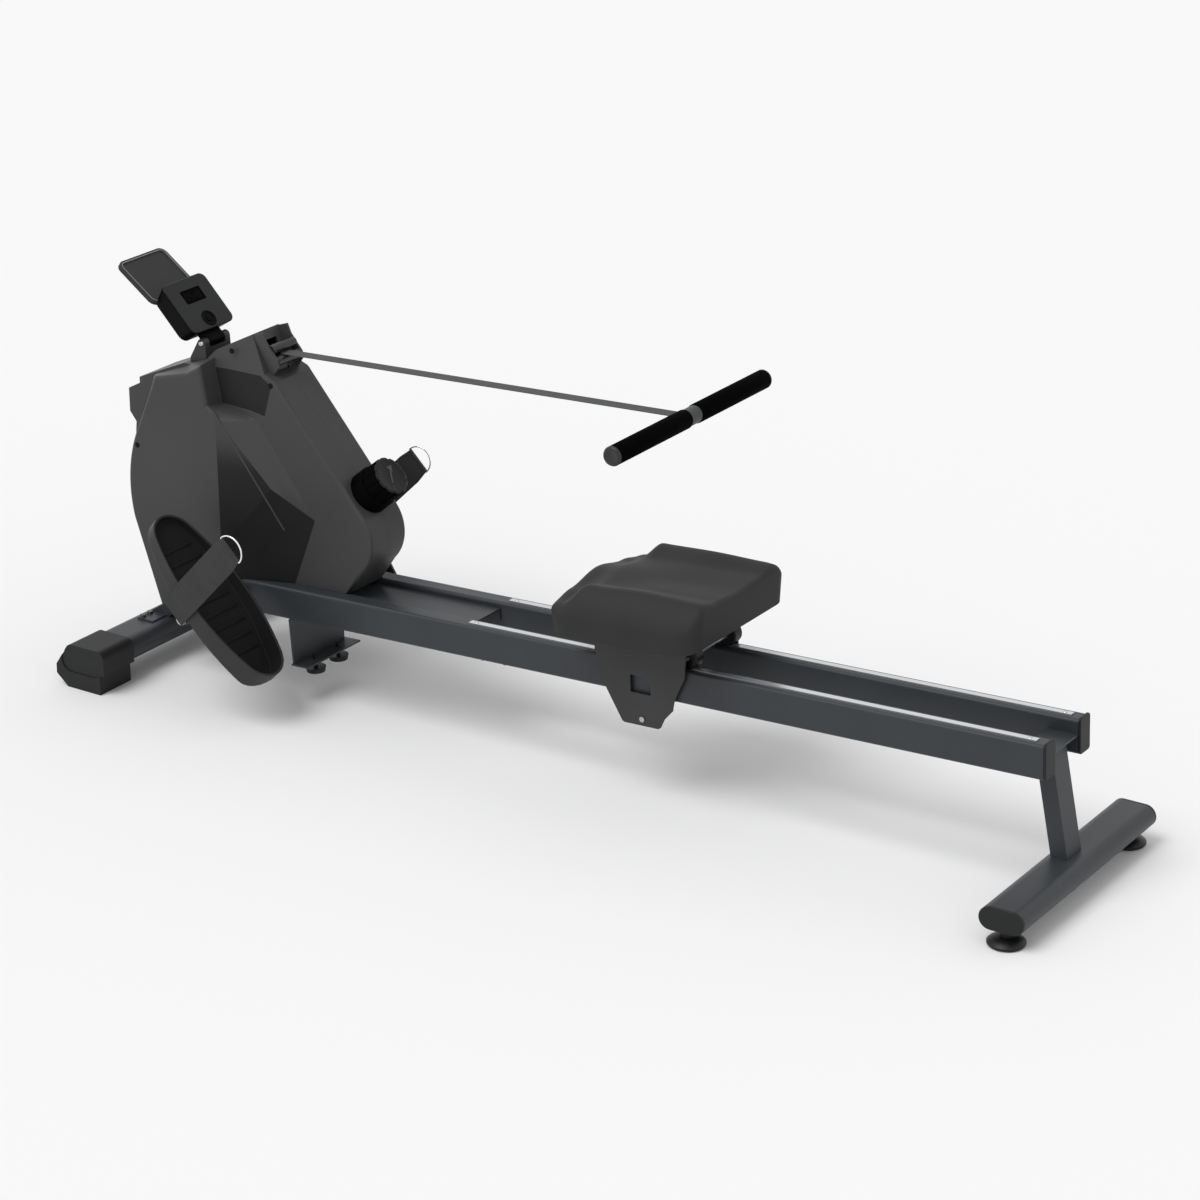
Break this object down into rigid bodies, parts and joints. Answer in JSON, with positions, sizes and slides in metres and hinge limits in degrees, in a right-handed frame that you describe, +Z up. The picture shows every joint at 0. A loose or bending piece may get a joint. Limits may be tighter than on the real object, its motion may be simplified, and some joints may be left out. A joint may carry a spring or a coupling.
{
  "type": "magnetic rowing machine",
  "caption": "Indoor rowing machine with a sliding seat on twin rails, a moulded flywheel housing, tilting foot trays with straps, a pull handle on a webbing strap and a console.",
  "frame": {"origin": "on the floor, under the middle of the machine's outline", "axes": "+X to the rear foot, -Y to the seated rower's left, +Z up"},
  "size_m": [1.9924, 0.5657, 0.7673],
  "materials": {
    "frame_paint": "satin powder coat, dark blue grey",
    "zinc_steel": "bright zinc",
    "strip_metal": "brushed",
    "dark_steel": "satin black paint",
    "housing_plastic": "fine texture, charcoal",
    "foot_plastic": "fine texture, dark grey",
    "black_rubber": "matte",
    "grip_foam": "soft foam, matte",
    "handle_metal": "satin",
    "collar_plastic": "matte",
    "strap_webbing": "woven webbing, grey",
    "black_webbing": "woven webbing, black",
    "knob_plastic": "matte black",
    "console_plastic": "fine texture",
    "screen_glass": "display window",
    "button_plastic": "satin silver",
    "pedal_plastic": "fine texture, black",
    "seat_foam": "moulded foam skin, fine grain",
    "roller_plastic": "satin",
    "wheel_iron": "turned",
    "belt_rubber": "ribbed",
    "cable_sheath": "smooth"
  },
  "bodies": {
    "frame": {"front_rail_left": "frame_paint", "front_rail_right": "frame_paint", "rear_rail_left": "frame_paint", "rear_rail_right": "frame_paint", "front_deck": "frame_paint", "rear_leg": "frame_paint", "rear_foot_tube": "frame_paint", "front_foot_tube": "frame_paint", "front_post": "frame_paint", "mid_bracket": "frame_paint", "mid_pads": "black_rubber", "frame_bolts": "zinc_steel", "rail_strips": "strip_metal", "rail_end_caps": "foot_plastic", "rear_foot_plugs": "foot_plastic", "front_foot_cap_left": "foot_plastic", "front_foot_cap_right": "foot_plastic", "housing_left": "housing_plastic", "housing_right": "housing_plastic", "strap_outlet": "housing_plastic", "mast": "dark_steel", "drive_belt": "belt_rubber", "brake_cable": "cable_sheath", "knob_base": "knob_plastic", "console_neck": "housing_plastic", "pedal_axle": "zinc_steel", "pull_strap": "strap_webbing"},
    "seat": {"seat_pad": "seat_foam", "seat_plate": "dark_steel", "carriage_plate_left": "dark_steel", "carriage_plate_right": "dark_steel", "seat_axles": "zinc_steel"},
    "seat_rollers_front": {"seat_rollers_front": "roller_plastic"},
    "seat_rollers_rear": {"seat_rollers_rear": "roller_plastic"},
    "seat_rollers_lower": {"seat_rollers_lower": "roller_plastic"},
    "handle": {"handle_bar": "handle_metal", "handle_grips": "grip_foam", "handle_end_caps": "collar_plastic", "handle_collar": "collar_plastic"},
    "spool": {"strap_spool": "roller_plastic"},
    "guide_roller_lower": {"guide_roller_lower": "roller_plastic"},
    "guide_roller_upper": {"guide_roller_upper": "roller_plastic"},
    "flywheel": {"flywheel": "wheel_iron"},
    "drive_pulley": {"drive_pulley": "roller_plastic"},
    "magnet_arm": {"magnet_arm": "dark_steel"},
    "knob": {"tension_knob": "knob_plastic"},
    "console": {"console_body": "console_plastic", "console_screen": "screen_glass", "phone_holder": "console_plastic"},
    "console_button": {"console_button": "button_plastic"},
    "pedal_left": {"pedal_left": "pedal_plastic", "pedal_strap_left": "black_webbing", "pedal_ring_left": "zinc_steel"},
    "pedal_right": {"pedal_right": "pedal_plastic", "pedal_strap_right": "black_webbing", "pedal_ring_right": "zinc_steel"},
    "wheel_left": {"transport_wheel_left": "black_rubber"},
    "wheel_right": {"transport_wheel_right": "black_rubber"},
    "foot_pad_left": {"rear_pad_left": "black_rubber"},
    "foot_pad_right": {"rear_pad_right": "black_rubber"}
  },
  "joints": [
    {"name": "seat_slide", "type": "slide", "parent": "frame", "child": "seat", "axis": [0.9991, 0, 0.0414], "range_m": [-0.26, 0.62]},
    {"name": "seat_rollers_front_turn", "type": "hinge", "parent": "seat", "child": "seat_rollers_front", "pos_m": [0.09732, 0, 0.27273], "axis": [0, 1, 0], "continuous": true},
    {"name": "seat_rollers_rear_turn", "type": "hinge", "parent": "seat", "child": "seat_rollers_rear", "pos_m": [0.26518, 0, 0.27969], "axis": [0, 1, 0], "continuous": true},
    {"name": "seat_rollers_lower_turn", "type": "hinge", "parent": "seat", "child": "seat_rollers_lower", "pos_m": [0.18525, 0, 0.17969], "axis": [0, 1, 0], "continuous": true},
    {"name": "handle_pull", "type": "slide", "parent": "frame", "child": "handle", "axis": [0.9989, 0, 0.0461], "range_m": [-0.77, 0.4], "deforming": ["pull_strap"]},
    {"name": "spool_turn", "type": "hinge", "parent": "frame", "child": "spool", "pos_m": [-0.681, 0, 0.51771], "axis": [0, 1, 0], "continuous": true},
    {"name": "guide_roller_lower_turn", "type": "hinge", "parent": "frame", "child": "guide_roller_lower", "pos_m": [-0.6299, 0, 0.63071], "axis": [0, 1, 0], "continuous": true},
    {"name": "guide_roller_upper_turn", "type": "hinge", "parent": "frame", "child": "guide_roller_upper", "pos_m": [-0.64081, 0, 0.65033], "axis": [0, 1, 0], "continuous": true},
    {"name": "flywheel_spin", "type": "hinge", "parent": "frame", "child": "flywheel", "pos_m": [-0.79145, 0, 0.35701], "axis": [0, 1, 0], "continuous": true},
    {"name": "drive_pulley_turn", "type": "hinge", "parent": "frame", "child": "drive_pulley", "pos_m": [-0.681, 0, 0.51771], "axis": [0, 1, 0], "continuous": true},
    {"name": "tension_turn", "type": "hinge", "parent": "frame", "child": "knob", "pos_m": [-0.45398, 0, 0.40789], "axis": [0.7626, 0, 0.6469], "range_deg": [0, 315]},
    {"name": "magnet_swing", "type": "hinge", "parent": "frame", "child": "magnet_arm", "pos_m": [-0.69696, 0, 0.2444], "axis": [0, 1, 0], "range_deg": [-0.5, 7]},
    {"name": "console_tilt", "type": "hinge", "parent": "frame", "child": "console", "pos_m": [-0.79746, 0, 0.63584], "axis": [0, 1, 0], "range_deg": [-20, 15]},
    {"name": "button_press", "type": "slide", "parent": "console", "child": "console_button", "axis": [-0.7206, 0, -0.6934], "range_m": [0, 0.0015], "stiffness_N_per_m": 400, "springref_m": -0.001},
    {"name": "pedal_left_tilt", "type": "hinge", "parent": "frame", "child": "pedal_left", "pos_m": [-0.68851, -0.184, 0.19681], "axis": [0, 1, 0], "range_deg": [-15, 15]},
    {"name": "pedal_right_tilt", "type": "hinge", "parent": "frame", "child": "pedal_right", "pos_m": [-0.68851, 0.184, 0.19681], "axis": [0, 1, 0], "range_deg": [-15, 15]},
    {"name": "wheel_left_spin", "type": "hinge", "parent": "frame", "child": "wheel_left", "pos_m": [-0.97192, -0.213, 0.027], "axis": [0, 1, 0], "continuous": true},
    {"name": "wheel_right_spin", "type": "hinge", "parent": "frame", "child": "wheel_right", "pos_m": [-0.97192, 0.213, 0.027], "axis": [0, 1, 0], "continuous": true},
    {"name": "foot_pad_left_turn", "type": "hinge", "parent": "frame", "child": "foot_pad_left", "pos_m": [0.95622, -0.219, 0.0287], "axis": [0, 0, 1], "range_deg": [-180, 180]},
    {"name": "foot_pad_right_turn", "type": "hinge", "parent": "frame", "child": "foot_pad_right", "pos_m": [0.95622, 0.219, 0.0287], "axis": [0, 0, 1], "range_deg": [-180, 180]}
  ],
  "couplings": [
    {"joint": "seat_rollers_front_turn", "follows": "seat_slide", "rad_per_m": 50},
    {"joint": "seat_rollers_rear_turn", "follows": "seat_slide", "rad_per_m": 50},
    {"joint": "seat_rollers_lower_turn", "follows": "seat_slide", "rad_per_m": -76.923},
    {"joint": "spool_turn", "follows": "handle_pull", "rad_per_m": -24.36},
    {"joint": "guide_roller_lower_turn", "follows": "handle_pull", "rad_per_m": 99.502},
    {"joint": "guide_roller_upper_turn", "follows": "handle_pull", "rad_per_m": -99.502},
    {"joint": "drive_pulley_turn", "follows": "flywheel_spin", "ratio": 0.30769},
    {"joint": "magnet_swing", "follows": "tension_turn", "ratio": 0.02}
  ]
}
